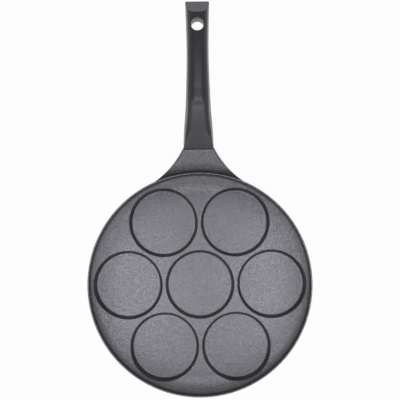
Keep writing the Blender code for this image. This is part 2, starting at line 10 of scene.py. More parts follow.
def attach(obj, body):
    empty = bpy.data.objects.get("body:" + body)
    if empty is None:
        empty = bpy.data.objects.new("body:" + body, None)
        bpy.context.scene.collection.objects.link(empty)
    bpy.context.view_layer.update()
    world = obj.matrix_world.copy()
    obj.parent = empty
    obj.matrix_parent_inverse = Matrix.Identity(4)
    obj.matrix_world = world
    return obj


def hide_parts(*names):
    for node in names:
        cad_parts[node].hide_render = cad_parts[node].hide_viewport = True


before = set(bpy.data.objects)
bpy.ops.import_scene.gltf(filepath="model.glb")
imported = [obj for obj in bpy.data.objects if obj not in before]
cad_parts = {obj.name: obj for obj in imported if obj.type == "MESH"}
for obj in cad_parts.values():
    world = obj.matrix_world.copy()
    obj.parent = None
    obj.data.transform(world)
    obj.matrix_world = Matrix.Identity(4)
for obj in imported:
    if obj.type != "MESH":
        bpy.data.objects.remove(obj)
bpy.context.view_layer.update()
print("frame loaded")


# camera: straight above the pan, as in the photo

photoView = dict(height=0.797, forward=0.0773, side=0.0008, lens=60.84, roll=-0.58, shiftY=0.045)

cameraData = bpy.data.cameras.new("photoCamera")
cameraData.sensor_width = 36.0
cameraData.lens = photoView["lens"]
cameraData.shift_y = photoView["shiftY"]
cameraData.clip_start = 0.01
photoCamera = bpy.data.objects.new("photoCamera", cameraData)
photoCamera.location = (photoView["side"], photoView["forward"], photoView["height"])
photoCamera.rotation_euler = (0.0, 0.0, math.radians(photoView["roll"]))
bpy.context.scene.collection.objects.link(photoCamera)
bpy.context.scene.camera = photoCamera
bpy.context.scene.view_settings.view_transform = "Standard"


# small helpers for curves and profiles

def smoothStep(value):
    value = min(max(value, 0.0), 1.0)
    return value * value * (3 - 2 * value)


def softMin(first, second, blend):  # the lower of two heights, with the corner between them rounded
    near = max(blend - abs(first - second), 0.0) / blend
    return min(first, second) - near * near * blend / 4


def arcPoints(center, radius, start, end, steps):
    points = []
    for i in range(steps + 1):
        turn = start + (end - start) * i / steps
        points.append((center[0] + radius * math.cos(turn), center[1] + radius * math.sin(turn)))
    return points


def curveThrough(knots, at):  # smooth curve through (position, value) knots that never overshoots
    spans = [(b[1] - a[1]) / (b[0] - a[0]) for a, b in zip(knots, knots[1:])]
    slopes = [spans[0]]
    for before, after in zip(spans, spans[1:]):
        slopes.append(0.0 if before * after <= 0 else 2 * before * after / (before + after))
    slopes.append(spans[-1])
    at = min(max(at, knots[0][0]), knots[-1][0])
    i = max(k for k in range(len(knots) - 1) if knots[k][0] <= at)
    width = knots[i + 1][0] - knots[i][0]
    t = (at - knots[i][0]) / width
    start = (1 + 2 * t) * (1 - t) ** 2 * knots[i][1] + t * (1 - t) ** 2 * width * slopes[i]
    end = t * t * (3 - 2 * t) * knots[i + 1][1] + t * t * (t - 1) * width * slopes[i + 1]
    return start + end


def roundedProfile(points, radii, steps):  # a profile with its inner corners turned into arcs
    rounded = [points[0]]
    for before, corner, after, radius in zip(points, points[1:], points[2:], radii):
        here = Vector(corner)
        back = (Vector(before) - here).normalized()
        onward = (Vector(after) - here).normalized()
        half = back.angle(onward) / 2
        if radius <= 0.0 or half > math.radians(89.0):
            rounded.append(corner)
            continue
        reach = radius / math.tan(half)
        middle = here + (back + onward).normalized() * radius / math.sin(half)
        first = here + back * reach - middle
        last = here + onward * reach - middle
        swing = first.angle_signed(last)  # clockwise is positive
        for i in range(steps + 1):
            turn = Matrix.Rotation(-swing * i / steps, 2)
            rounded.append(tuple(middle + turn @ first))
    rounded.append(points[-1])
    return rounded


# small helpers for meshes

tiny = 1e-7  # metres that count as nothing


def addRing(bm, points):
    return [bm.verts.new(point) for point in points]


def skinRings(bm, rings):
    count = len(rings[0])
    for ring, following in zip(rings, rings[1:]):
        for i in range(count):
            j = (i + 1) % count
            bm.faces.new((ring[i], ring[j], following[j], following[i]))


def skinTurned(bm, rings, steps):  # faces between turned rings, where a ring may be a single point
    for ring, following in zip(rings, rings[1:]):
        for i in range(steps):
            j = (i + 1) % steps
            corners = [ring[i % len(ring)], ring[j % len(ring)]]
            corners += [following[j % len(following)], following[i % len(following)]]
            bm.faces.new(list(dict.fromkeys(corners)))


def turnProfile(bm, profile, steps, place=Matrix.Identity(4)):  # (radius, height) points round the Z axis
    rings = []
    for radius, height in profile:
        if radius < tiny:
            rings.append([bm.verts.new(place @ Vector((0.0, 0.0, height)))])
            continue
        turns = [2 * math.pi * i / steps for i in range(steps)]
        points = [Vector((radius * math.cos(a), radius * math.sin(a), height)) for a in turns]
        rings.append(addRing(bm, [place @ point for point in points]))
    skinTurned(bm, rings, steps)
    return rings


def closeRing(bm, row):  # upright strips across a ring
    count = len(row)
    bm.faces.new((row[-1], row[0], row[1]))
    for i in range(1, count // 2 - 1):
        bm.faces.new((row[-i], row[i], row[i + 1], row[-i - 1]))
    bm.faces.new((row[count // 2 - 1], row[count // 2], row[count // 2 + 1]))


def roundedStart(radius):  # (advance, inset) of the rings that round off a block's first edge
    steps = 4
    rings = []
    for i in range(steps + 1):
        turn = math.pi / 2 * (1 - i / steps)
        rings.append((radius * (1 - math.sin(turn)), radius * (1 - math.cos(turn))))
    return rings


def objectFrom(name, bm):
    bmesh.ops.recalc_face_normals(bm, faces=bm.faces[:])
    mesh = bpy.data.meshes.new(name)
    bm.to_mesh(mesh)
    bm.free()
    obj = bpy.data.objects.new(name, mesh)
    bpy.context.scene.collection.objects.link(obj)
    return obj


def keepEvaluated(obj):  # apply every modifier of an object to its mesh
    graph = bpy.context.evaluated_depsgraph_get()
    mesh = bpy.data.meshes.new_from_object(obj.evaluated_get(graph))
    obj.modifiers.clear()
    old = obj.data
    obj.data = mesh
    bpy.data.meshes.remove(old)


def carve(obj, tool, operation="DIFFERENCE", solver="EXACT"):  # one Boolean; its tool is thrown away
    cut = obj.modifiers.new("cut", "BOOLEAN")
    cut.operation = operation
    cut.solver = solver
    cut.object = tool
    keepEvaluated(obj)
    bpy.data.objects.remove(tool)


def roundEdges(obj, width, segments):
    bevel = obj.modifiers.new("round", "BEVEL")
    bevel.width = width
    bevel.segments = segments
    bevel.limit_method = "ANGLE"
    keepEvaluated(obj)


def roundedBlock(name, size, center, edge, place, edgeSteps=4):
    bm = bmesh.new()
    bmesh.ops.create_cube(bm, size=1.0)
    bmesh.ops.scale(bm, vec=size, verts=bm.verts[:])
    bmesh.ops.translate(bm, vec=center, verts=bm.verts[:])
    bmesh.ops.transform(bm, matrix=place, verts=bm.verts[:])
    obj = objectFrom(name, bm)
    roundEdges(obj, edge, edgeSteps)
    return obj


def finishPiece(obj, sharpAngle, materials):
    mesh = obj.data
    mesh.materials.clear()
    for material in materials:
        mesh.materials.append(material)
    mesh.shade_smooth()
    mesh.set_sharp_from_angle(angle=math.radians(sharpAngle))
    obj.data.name = obj.name
    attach(obj, "root")


# node helpers for the finishes

def newFinish(name):
    material = bpy.data.materials.new(name)
    material.use_nodes = True
    tree = material.node_tree
    tree.nodes.clear()
    return material, tree


def feed(tree, socket, value):  # value may be a number, a colour or another node's socket
    if isinstance(value, bpy.types.NodeSocket):
        tree.links.new(value, socket)
    else:
        socket.default_value = value


def put(tree, kind, settings=None, **inputs):  # add a node; i0, i1 are inputs by number
    node = tree.nodes.new(kind)
    for key, value in (settings or {}).items():
        setattr(node, key, value)
    for key, value in inputs.items():
        numbered = key[0] == "i" and key[1:].isdigit()
        feed(tree, node.inputs[int(key[1:]) if numbered else key.replace("_", " ")], value)
    return node


def maths(tree, operation, first, second=0.0):
    return put(tree, "ShaderNodeMath", {"operation": operation}, i0=first, i1=second).outputs[0]


def noise(tree, where, scale, detail=2.0, rough=0.5):
    node = put(tree, "ShaderNodeTexNoise", Vector=where, Scale=scale, Detail=detail, Roughness=rough)
    return node.outputs["Fac"]


def mapTo(tree, value, low, high, newLow, newHigh):
    node = put(tree, "ShaderNodeMapRange", Value=value)
    for key, number in (("From Min", low), ("From Max", high), ("To Min", newLow), ("To Max", newHigh)):
        node.inputs[key].default_value = number
    return node.outputs[0]


def blendColor(tree, amount, first, second, kind="MIX"):
    mixer = {"data_type": "RGBA", "blend_type": kind}
    return put(tree, "ShaderNodeMix", mixer, i0=amount, i6=first, i7=second).outputs[2]


def rgb(red, green, blue):
    return (red, green, blue, 1.0)


def tint(tree, color, value, low, high, most, toward):  # blend toward a tone as value goes from low to high
    return blendColor(tree, mapTo(tree, value, low, high, 0.0, most), color, rgb(*toward))


def fromAxis(tree, where):  # distance from the pan's upright axis
    flat = put(tree, "ShaderNodeVectorMath", {"operation": "MULTIPLY"}, i0=where, i1=(1.0, 1.0, 0.0))
    return put(tree, "ShaderNodeVectorMath", {"operation": "LENGTH"}, i0=flat.outputs[0]).outputs["Value"]


def bump(tree, height, strength, distance, onto=None):
    node = put(tree, "ShaderNodeBump", Strength=strength, Distance=distance, Height=height)
    if onto:
        tree.links.new(onto, node.inputs["Normal"])
    return node.outputs[0]


# finish: speckled nonstick coating, dark grey with a violet tint

coatingLook = dict(
    base=(0.121, 0.119, 0.132), dark=(0.060, 0.059, 0.066), light=(0.24, 0.24, 0.256),
    metallic=0.60, roughness=(0.23, 0.32), edgeTint=(0.84, 0.79, 0.95),
    fleckScale=760.0, grainScale=1200.0, skinScale=480.0, cloudScale=28.0,
    cloudMix=(0.3, 0.7, 0.25), grainMix=(0.35, 0.65, 0.55), skinMix=(0.35, 0.65, 0.70),
    fleckEdge=(0.18, 0.42), lightFlecks=(0.84, 0.92), darkFlecks=(0.78, 0.88), fleckMix=0.75,
    skinBump=(0.17, 0.0004), grainBump=(0.16, 0.0002), paintedShadeReach=0.160)
# painted shade and painted highlight on the coating, by distance from the pan's middle, in metres: painted
# shade on the dish, a painted shade line at the foot of the step, a painted highlight on the rim and painted
# shade on the neck
coatingLook["tones"] = (
    (0.0900, 1.00), (0.1000, 0.95), (0.1070, 0.85), (0.1120, 0.79), (0.1170, 0.73),
    (0.1225, 1.00), (0.1254, 1.00), (0.1264, 0.38), (0.1276, 0.38),
    (0.1284, 1.05), (0.1305, 1.30), (0.1335, 1.10), (0.1370, 0.76))


def speckledCoating():
    look = coatingLook
    material, tree = newFinish("speckledCoating")
    where = put(tree, "ShaderNodeTexCoord").outputs["Object"]
    cells = put(tree, "ShaderNodeTexVoronoi", Vector=where, Scale=look["fleckScale"])
    cellRandom = put(tree, "ShaderNodeSeparateColor", Color=cells.outputs["Color"])
    fleck = mapTo(tree, cells.outputs["Distance"], *look["fleckEdge"], 1.0, 0.0)
    fleck = maths(tree, "MULTIPLY", fleck, look["fleckMix"])
    lightCells = mapTo(tree, cellRandom.outputs[0], *look["lightFlecks"], 0.0, 1.0)
    darkCells = mapTo(tree, cellRandom.outputs[1], *look["darkFlecks"], 0.0, 1.0)
    cloud = noise(tree, where, look["cloudScale"], 3.0, 0.6)
    grain = noise(tree, where, look["grainScale"], 2.0, 0.6)
    skin = noise(tree, where, look["skinScale"], 2.0, 0.6)
    color = tint(tree, rgb(*look["base"]), cloud, *look["cloudMix"], look["dark"])
    color = tint(tree, color, grain, *look["grainMix"], look["light"])
    color = tint(tree, color, skin, *look["skinMix"], look["dark"])
    color = blendColor(tree, maths(tree, "MULTIPLY", fleck, darkCells), color, rgb(*look["dark"]))
    color = blendColor(tree, maths(tree, "MULTIPLY", fleck, lightCells), color, rgb(*look["light"]))
    # painted shade and painted highlight: a ramp by radius multiplies the coating's colour
    distance = maths(tree, "MULTIPLY", fromAxis(tree, where), 1 / look["paintedShadeReach"])
    tone = put(tree, "ShaderNodeValToRGB", Fac=distance)
    stops = tone.color_ramp.elements
    for i, (radius, shade) in enumerate(look["tones"]):
        place = radius / look["paintedShadeReach"]
        stop = stops[i] if i < 2 else stops.new(place)
        stop.position = place
        stop.color = rgb(shade, shade, shade)
    color = blendColor(tree, 1.0, color, tone.outputs["Color"], "MULTIPLY")
    rough = mapTo(tree, skin, 0.3, 0.7, *look["roughness"])
    normal = bump(tree, skin, *look["skinBump"])
    normal = bump(tree, grain, *look["grainBump"], normal)
    shader = put(tree, "ShaderNodeBsdfPrincipled", Base_Color=color, Roughness=rough, Normal=normal)
    shader.inputs["Metallic"].default_value = look["metallic"]
    shader.inputs["Specular Tint"].default_value = rgb(*look["edgeTint"])
    put(tree, "ShaderNodeOutputMaterial", Surface=shader.outputs[0])
    return material


# finish: bare aluminium of the turned base

turnedLook = dict(
    color=(0.72, 0.72, 0.73), dull=(0.52, 0.52, 0.53), roughness=(0.29, 0.42),
    ringScale=45.0, fineScale=2600.0, broadScale=320.0, markScale=35.0,
    fineMix=(0.3, 0.7, 0.6), broadMix=(0.35, 0.65, 0.5), markMix=(0.5, 0.8, 0.35),
    ringBump=(0.10, 0.0002), fineBump=(0.25, 0.0001))


def turnedAluminium():
    look = turnedLook
    material, tree = newFinish("turnedAluminium")
    where = put(tree, "ShaderNodeTexCoord").outputs["Object"]
    wave = {"wave_type": "RINGS", "rings_direction": "Z", "wave_profile": "SIN"}
    rings = put(tree, "ShaderNodeTexWave", wave, Vector=where, Scale=look["ringScale"], Distortion=0.0)
    level = put(tree, "ShaderNodeSeparateXYZ", Vector=where).outputs["Z"]
    along = put(tree, "ShaderNodeCombineXYZ", X=fromAxis(tree, where), Y=0.0, Z=level).outputs[0]
    fine = noise(tree, along, look["fineScale"], 3.0, 0.7)
    broad = noise(tree, along, look["broadScale"], 3.0, 0.6)
    marks = noise(tree, where, look["markScale"], 4.0, 0.6)
    color = tint(tree, rgb(*look["color"]), fine, *look["fineMix"], look["dull"])
    color = tint(tree, color, broad, *look["broadMix"], look["dull"])
    color = tint(tree, color, marks, *look["markMix"], look["dull"])
    rough = mapTo(tree, broad, 0.3, 0.7, *look["roughness"])
    normal = bump(tree, rings.outputs["Fac"], *look["ringBump"])
    normal = bump(tree, fine, *look["fineBump"], normal)
    shader = put(tree, "ShaderNodeBsdfPrincipled", Base_Color=color, Roughness=rough, Normal=normal)
    shader.inputs["Metallic"].default_value = 1.0
    put(tree, "ShaderNodeOutputMaterial", Surface=shader.outputs[0])
    return material


# finish: black phenolic moulding

phenolicLook = dict(
    base=(0.024, 0.023, 0.033), pale=(0.042, 0.041, 0.052), roughness=(0.26, 0.36),
    poreScale=2400.0, flowScale=55.0, rubScale=230.0, poreMix=(0.35, 0.75, 0.5), flowMix=(0.45, 0.8, 0.3),
    poreBump=(0.08, 0.0002), flowBump=(0.05, 0.0006))


def blackPhenolic():
    look = phenolicLook
    material, tree = newFinish("blackPhenolic")
    where = put(tree, "ShaderNodeTexCoord").outputs["Object"]
    pores = noise(tree, where, look["poreScale"], 3.0, 0.65)
    flow = noise(tree, where, look["flowScale"], 4.0, 0.6)
    rub = noise(tree, where, look["rubScale"], 3.0, 0.5)
    color = tint(tree, rgb(*look["base"]), pores, *look["poreMix"], look["pale"])
    color = tint(tree, color, flow, *look["flowMix"], look["pale"])
    rough = mapTo(tree, rub, 0.3, 0.7, *look["roughness"])
    normal = bump(tree, pores, *look["poreBump"])
    normal = bump(tree, flow, *look["flowBump"], normal)
    shader = put(tree, "ShaderNodeBsdfPrincipled", Base_Color=color, Roughness=rough, Normal=normal)
    put(tree, "ShaderNodeOutputMaterial", Surface=shader.outputs[0])
    return material


# finish: zinc plating on the screw and washers

zincLook = dict(
    color=(0.62, 0.63, 0.65), stain=(0.42, 0.41, 0.40), roughness=(0.25, 0.42),
    bloomScale=700.0, scratchScale=900.0, scratchStretch=(1.0, 14.0, 1.0),
    stainMix=(0.45, 0.75, 0.6), scratchBump=(0.12, 0.0001))


def zincPlating():
    look = zincLook
    material, tree = newFinish("zincPlating")
    where = put(tree, "ShaderNodeTexCoord").outputs["Object"]
    stretched = put(tree, "ShaderNodeMapping", Vector=where, Scale=look["scratchStretch"]).outputs[0]
    bloom = noise(tree, where, look["bloomScale"], 4.0, 0.6)
    scratch = noise(tree, stretched, look["scratchScale"], 2.0, 0.6)
    color = tint(tree, rgb(*look["color"]), bloom, *look["stainMix"], look["stain"])
    rough = mapTo(tree, bloom, 0.3, 0.7, *look["roughness"])
    normal = bump(tree, scratch, *look["scratchBump"])
    shader = put(tree, "ShaderNodeBsdfPrincipled", Base_Color=color, Roughness=rough, Normal=normal)
    shader.inputs["Metallic"].default_value = 1.0
    put(tree, "ShaderNodeOutputMaterial", Surface=shader.outputs[0])
    return material


# pan: sizes as in the solid

pan = dict(
    rimRadius=0.1300, height=0.0170, rimLand=0.0006, rimRound=0.0006,
    stepDrop=0.0020, stepSlope=0.0005, stepFillet=0.0004, dishWidth=0.0220,
    baseRadius=0.1130, baseStep=0.0006, baseRound=0.0003, heelRadius=0.0100, wallDraft=math.radians(8.0),
    floor=0.0045, plate=0.0105, plateEnd=0.1255,
    wellRadius=0.0402, wellPitch=0.0834, wellDraft=math.radians(26.0), wellEdge=0.0005, wellFloorRound=0.0008,
    wallLevels=(0.0145, 0.0125), baseRings=(0.100, 0.070, 0.035, 0.0),
    wellFloorRings=(0.985, 0.9, 0.6, 0.3, 0.0), rimSteps=288, wellSteps=144, sharpAngle=34.0)
pan["stepFoot"] = pan["rimRadius"] - pan["rimLand"] - 2 * pan["rimRound"] - pan["stepSlope"]
pan["dishStart"] = pan["stepFoot"] - pan["dishWidth"]
wellCenters = [Vector((0.0, 0.0))]
for i in range(6):
    turn = math.radians(60.0 * i)
    wellCenters.append(Vector((math.cos(turn), math.sin(turn))) * pan["wellPitch"])


def dishRise(radius):
    rise = pan["height"] - pan["stepDrop"] - pan["plate"]
    curve = (pan["dishWidth"] ** 2 + rise**2) / (2 * rise)
    run = min(max(radius - pan["dishStart"], 0.0), pan["dishWidth"])
    return curve - math.sqrt(curve**2 - run**2)


def heelCenter():
    level = pan["baseStep"] + pan["heelRadius"]
    drop = pan["height"] - pan["rimRound"] - level
    reach = (pan["heelRadius"] + drop * math.sin(pan["wallDraft"])) / math.cos(pan["wallDraft"])
    return pan["rimRadius"] - reach, level


def wallRadius(level):
    center, middle = heelCenter()
    if level >= middle - pan["heelRadius"] * math.sin(pan["wallDraft"]):
        return pan["rimRadius"] - (pan["height"] - pan["rimRound"] - level) * math.tan(pan["wallDraft"])
    return center + math.sqrt(pan["heelRadius"] ** 2 - (middle - level) ** 2)


def panOutside():  # profile from the dished edge over the rim and down to the middle of the base
    dish = []
    for i in range(4):
        radius = pan["plateEnd"] + (pan["stepFoot"] - pan["plateEnd"]) * i / 3
        dish.append((radius, pan["plate"] + dishRise(radius)))
    rimLevel = pan["height"] - pan["rimRound"]
    inner = (pan["rimRadius"] - pan["rimLand"] - pan["rimRound"], rimLevel)
    outer = (pan["rimRadius"] - pan["rimRound"], rimLevel)
    stepTop = (inner[0] - pan["rimRound"], rimLevel)
    corner = roundedProfile([dish[-2], dish[-1], stepTop], [pan["stepFillet"]], 4)
    rim = arcPoints(inner, pan["rimRound"], math.pi, math.pi / 2, 6)
    rim += arcPoints(outer, pan["rimRound"], math.pi / 2, 0.0, 6)
    heel = arcPoints(heelCenter(), pan["heelRadius"], -pan["wallDraft"], -math.pi / 2, 16)
    base = [(radius, 0.0) for radius in pan["baseRings"]]
    ledge = (pan["baseRadius"] + pan["baseStep"], pan["baseStep"])
    foot = [heel[-1], ledge, (pan["baseRadius"], 0.0), base[0]]
    foot = roundedProfile(foot, [pan["baseRound"], pan["baseRound"]], 3)
    wall = [(wallRadius(level), level) for level in pan["wallLevels"]]
    return dish[:-2] + corner[:-1] + rim + wall + heel + foot[1:] + base[1:]


def wellRows():  # (radius, height, share of the dish's rise) from the edge of a well to its floor
    draft = pan["wellDraft"]
    edgeCenter = (pan["wellRadius"], pan["plate"] - pan["wellEdge"])
    edge = arcPoints(edgeCenter, pan["wellEdge"], math.pi / 2, math.pi - draft, 6)
    low = pan["floor"] + pan["wellFloorRound"] * (1 - math.sin(draft))
    wallRun = (edge[-1][1] - low) * math.tan(draft)
    middle = edge[-1][0] - wallRun - pan["wellFloorRound"] * math.cos(draft)
    floorCenter = (middle, pan["floor"] + pan["wellFloorRound"])
    floor = arcPoints(floorCenter, pan["wellFloorRound"], -draft, -math.pi / 2, 6)
    rows = [(radius, height, 1.0) for radius, height in edge]
    for i in range(1, 4):
        share = 1 - i / 4
        rows.append((floor[0][0] + wallRun * share, low + (edge[-1][1] - low) * share, share))
    rows += [(radius, height, 0.0) for radius, height in floor]
    rows += [(middle * share, pan["floor"], 0.0) for share in pan["wellFloorRings"]]
    return rows


def addWell(bm, center):
    rings = []
    for radius, height, share in wellRows():
        if radius < tiny:
            rings.append([bm.verts.new((center.x, center.y, height))])
            continue
        ring = []
        for i in range(pan["wellSteps"]):
            turn = 2 * math.pi * i / pan["wellSteps"]
            x, y = center.x + radius * math.cos(turn), center.y + radius * math.sin(turn)
            ring.append(bm.verts.new((x, y, height + share * dishRise(math.hypot(x, y)))))
        rings.append(ring)
    skinTurned(bm, rings, pan["wellSteps"])


def circle(center, radius, steps, offset=0.0):
    turns = [2 * math.pi * (i + offset) / steps for i in range(steps)]
    return [Vector((center[0] + radius * math.cos(a), center[1] + radius * math.sin(a))) for a in turns]


# points inside the plate: rings beside each well (gap, turn in steps), then rows inward from its outer edge
plateMesh = dict(
    wellRings=((0.0006, 0.5), (0.0014, 0.0)), wellRoom=0.0021, endRoom=0.0005,
    firstRow=0.0010, lastRow=0.0090, closeStep=0.0010, wideStep=0.0025,
    closeUntil=0.0020, fullUntil=0.0030, fewest=24)


def addPlate(bm):  # the web between the wells and the dished edge, as one triangulated sheet
    grid = plateMesh
    points = circle((0.0, 0.0), pan["plateEnd"], pan["rimSteps"])
    edges = [(i, (i + 1) % pan["rimSteps"]) for i in range(pan["rimSteps"])]
    for center in wellCenters:
        first = len(points)
        points += circle(center, pan["wellRadius"], pan["wellSteps"])
        edges += [(first + i, first + (i + 1) % pan["wellSteps"]) for i in range(pan["wellSteps"])]

    def clear(point, room):
        return all((point - center).length > pan["wellRadius"] + room for center in wellCenters)

    for gap, offset in grid["wellRings"]:
        for center in wellCenters:
            for point in circle(center, pan["wellRadius"] + gap, pan["wellSteps"], offset):
                if clear(point, gap - 10 * tiny) and point.length < pan["plateEnd"] - grid["endRoom"]:
                    points.append(point)
    radius, row = pan["plateEnd"] - grid["firstRow"], 0
    while radius > grid["lastRow"]:
        steps = max(grid["fewest"], int(2 * math.pi * radius / grid["wideStep"]))
        if radius > pan["dishStart"] - grid["fullUntil"]:
            steps = pan["rimSteps"]
        for point in circle((0.0, 0.0), radius, steps, 0.5 * (row % 2)):
            if clear(point, grid["wellRoom"]):
                points.append(point)
        radius -= grid["closeStep"] if radius > pan["dishStart"] - grid["closeUntil"] else grid["wideStep"]
        row += 1
    places, _, triangles, _, _, _ = delaunay_2d_cdt(points, edges, [], 0, tiny)
    verts = [bm.verts.new((p.x, p.y, pan["plate"] + dishRise(p.length))) for p in places]
    for triangle in triangles:
        middle = sum((places[i] for i in triangle), Vector((0.0, 0.0))) / 3
        if clear(middle, 0.0):
            bm.faces.new([verts[i] for i in triangle])


def panShell():
    bm = bmesh.new()
    addPlate(bm)
    for center in wellCenters:
        addWell(bm, center)
    turnProfile(bm, panOutside(), pan["rimSteps"])
    bmesh.ops.remove_doubles(bm, verts=bm.verts[:], dist=20 * tiny)
    loose = [v for v in bm.verts if not v.link_faces]
    bmesh.ops.delete(bm, geom=loose, context="VERTS")
    openEdges = sum(1 for edge in bm.edges if len(edge.link_faces) != 2)
    print("pan shell:", len(bm.faces), "faces,", openEdges, "open edges")
    return objectFrom("panCasting", bm)


# neck, cast in one with the pan: sizes as in the solid, with its upper side levelled and rolled over

neck = dict(
    reach=0.1589, level=0.01375, tilt=math.radians(20.0), halfWidth=0.0177, halfHeight=0.0075,
    cornerRise=0.0008, cornerBlend=0.0004, widest=-0.0010, topPower=8.0, bottomPower=5.0,
    spread=math.radians(31.0), flare=math.radians(27.2), crossing=math.radians(5.5), pull=0.365,
    top=0.0136, topRise=math.radians(14.0), topRootRise=math.radians(15.0),
    bottom=0.0040, bottomRise=math.radians(6.0), bottomRootRise=math.radians(2.0), bury=0.0020,
    across=0.9, fall=0.0030, fallRun=0.0110, fallPower=2.0,
    jointGap=0.0003, jointRound=0.00045, points=112, stations=44)
core = dict(
    skin=0.0040, halfWidth=0.0138, draft=0.0012, start=0.17, end=1.12, run=0.0040, rib=0.0032,
    edge=0.0012, edgeSteps=5, columns=6, stations=14)
tang = dict(width=0.0180, thickness=0.0058, length=0.0360, lift=0.0020, edge=0.0012, run=0.0040, holeSteps=64)
seatGap = 0.0003  # room round the tang, the screw and its washers
jointPlace = Matrix.Translation((0.0, neck["reach"], neck["level"])) @ Matrix.Rotation(neck["tilt"], 4, "X")


def squarishPoint(turn, halfWidth, crown, depth, widest, topPower, bottomPower):
    power = topPower if math.sin(turn) >= 0 else bottomPower
    span = crown - widest if math.sin(turn) >= 0 else widest + depth
    across = math.copysign(abs(math.cos(turn)) ** (2 / power), math.cos(turn))
    along = math.copysign(abs(math.sin(turn)) ** (2 / power), math.sin(turn))
    return halfWidth * across, widest + span * along


def neckPoint(x, height, t):  # from a point of the section at the joint (t = 0) to the pan's wall (t = 1)
    side = x / neck["halfWidth"]
    upness = (height + neck["halfHeight"]) / (2 * neck["halfHeight"])
    level = neck["bottom"] + (neck["top"] - neck["bottom"]) * upness
    angle = neck["spread"] * side
    radius = wallRadius(level) - neck["bury"]
    start = jointPlace @ Vector((x, -neck["jointGap"] / 2, height))
    end = Vector((radius * math.sin(angle), radius * math.cos(angle), level))
    leaving = neck["flare"] * side
    arriving = (math.pi / 2 - neck["spread"] - neck["crossing"]) * side
    reach = neck["pull"] * (start - end).length
    rise = neck["bottomRise"] + (neck["topRise"] - neck["bottomRise"]) * upness
    rootRise = neck["bottomRootRise"] + (neck["topRootRise"] - neck["bottomRootRise"]) * upness
    first = start + reach * Vector((math.sin(leaving), -math.cos(leaving), -math.tan(rise)))
    second = end - reach * Vector((math.sin(arriving), -math.cos(arriving), -math.tan(rootRise)))
    point = (1 - t) ** 3 * start
    point += 3 * t * (1 - t) ** 2 * first
    point += 3 * t * t * (1 - t) * second
    point += t**3 * end
    return point


def middleLevel(along):  # height of the neck's upper side on its middle line
    i = max([k for k in range(len(middleLine) - 1) if middleLine[k][0] >= along], default=0)
    (near, high), (far, low) = middleLine[i], middleLine[i + 1]
    return high + (low - high) * min(max((near - along) / (near - far), 0.0), 1.0)


def neckSkin(x, height, t):  # level from side to side, and rolled over where it falls to the pan's wall
    point = neckPoint(x, height, t)
    top = neckPoint(x, neck["halfHeight"], t)
    share = smoothStep(height / neck["halfHeight"])
    point = point + Vector((0.0, 0.0, neck["across"] * share * (middleLevel(top.y) - top.z)))
    gap = math.hypot(point.x, point.y) - pan["rimRadius"]
    nearness = 1 - min(max(gap / neck["fallRun"], 0.0), 1.0)
    fall = neck["fall"] * nearness ** neck["fallPower"]
    return point - Vector((0.0, 0.0, fall * share))


middlePoints = [neckPoint(0.0, neck["halfHeight"], i / 60) for i in range(61)]
middleLine = [(point.y, point.z) for point in middlePoints]


def jointSection(inset):  # the neck's section at the joint, as (x, height)
    section = []
    crown = neck["halfHeight"] + neck["cornerRise"]
    for i in range(neck["points"]):
        turn = 2 * math.pi * i / neck["points"]
        x, height = squarishPoint(
            turn, neck["halfWidth"], crown, neck["halfHeight"],
            neck["widest"], neck["topPower"], neck["bottomPower"])
        height = softMin(height, neck["halfHeight"], neck["cornerBlend"])
        section.append((x * (1 - inset / neck["halfWidth"]), height * (1 - inset / neck["halfHeight"])))
    return section


def neckBlock():
    bm = bmesh.new()
    length = neck["reach"] - pan["rimRadius"]
    stations = [(advance / length, inset) for advance, inset in roundedStart(neck["jointRound"])]
    first = stations[-1][0]
    for i in range(1, neck["stations"] + 1):
        t = smoothStep(0.5 + 0.5 * i / neck["stations"]) * 2 - 1
        stations.append((first + (1 - first) * t, 0.0))
    rings = []
    for t, inset in stations:
        rings.append(addRing(bm, [neckSkin(x, height, t) for x, height in jointSection(inset)]))
    skinRings(bm, rings)
    closeRing(bm, rings[0])
    closeRing(bm, rings[-1])
    return objectFrom("neckBlock", bm)


def coreBlock(side):  # one half of the hollow cast into the neck's underside
    bm = bmesh.new()
    shares = [i / core["columns"] for i in range(core["columns"] + 1)]
    corners = [(share, False) for share in shares] + [(share, True) for share in reversed(shares)]
    rings = []
    for i in range(core["stations"] + 1):
        t = core["start"] + (core["end"] - core["start"]) * i / core["stations"]
        ring = []
        for share, ceiling in corners:
            half = core["halfWidth"] - (core["draft"] if ceiling else 0.0)
            top = neckSkin(side * share * half, neck["halfHeight"], t)
            bottom = neckPoint(side * share * half, -neck["halfHeight"], t)
            down = (bottom - top).normalized()
            point = top + down * core["skin"] if ceiling else bottom + down * core["run"]
            if share == 0.0:
                point.x = side * core["rib"] / 2
            ring.append(point)
        rings.append(addRing(bm, ring))
    skinRings(bm, rings)
    closeRing(bm, rings[0])
    closeRing(bm, rings[-1])
    obj = objectFrom("coreBlock", bm)
    roundEdges(obj, core["edge"], core["edgeSteps"])
    return obj


def panCasting():
    body = panShell()
    arm = neckBlock()
    for side in (-1, 1):
        carve(arm, coreBlock(side), solver="MANIFOLD")  # the exact one turns the neck inside out
    carve(body, arm, "UNION", "MANIFOLD")
    center = (0.0, (tang["length"] - tang["run"]) / 2, tang["lift"])
    size = (tang["width"], tang["length"] + tang["run"], tang["thickness"])
    carve(body, roundedBlock("tangBlock", size, center, tang["edge"], jointPlace), "UNION")
    bm = bmesh.new()
    hole = screw["radius"] + seatGap
    half = tang["thickness"] / 2 + tang["run"]
    place = jointPlace @ Matrix.Translation((0.0, screw["distance"], tang["lift"]))
    turnProfile(bm, [(0.0, half), (hole, half), (hole, -half), (0.0, -half)], tang["holeSteps"], place)
    carve(body, objectFrom("tappedHole", bm))
    finishPiece(body, pan["sharpAngle"], [coating, bareBase])
    for face in body.data.polygons:
        if face.center.z < 100 * tiny and math.hypot(face.center.x, face.center.y) < pan["baseRadius"]:
            face.material_index = 1
    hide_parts("pan_body")
    print("pan casting:", len(body.data.polygons), "faces")


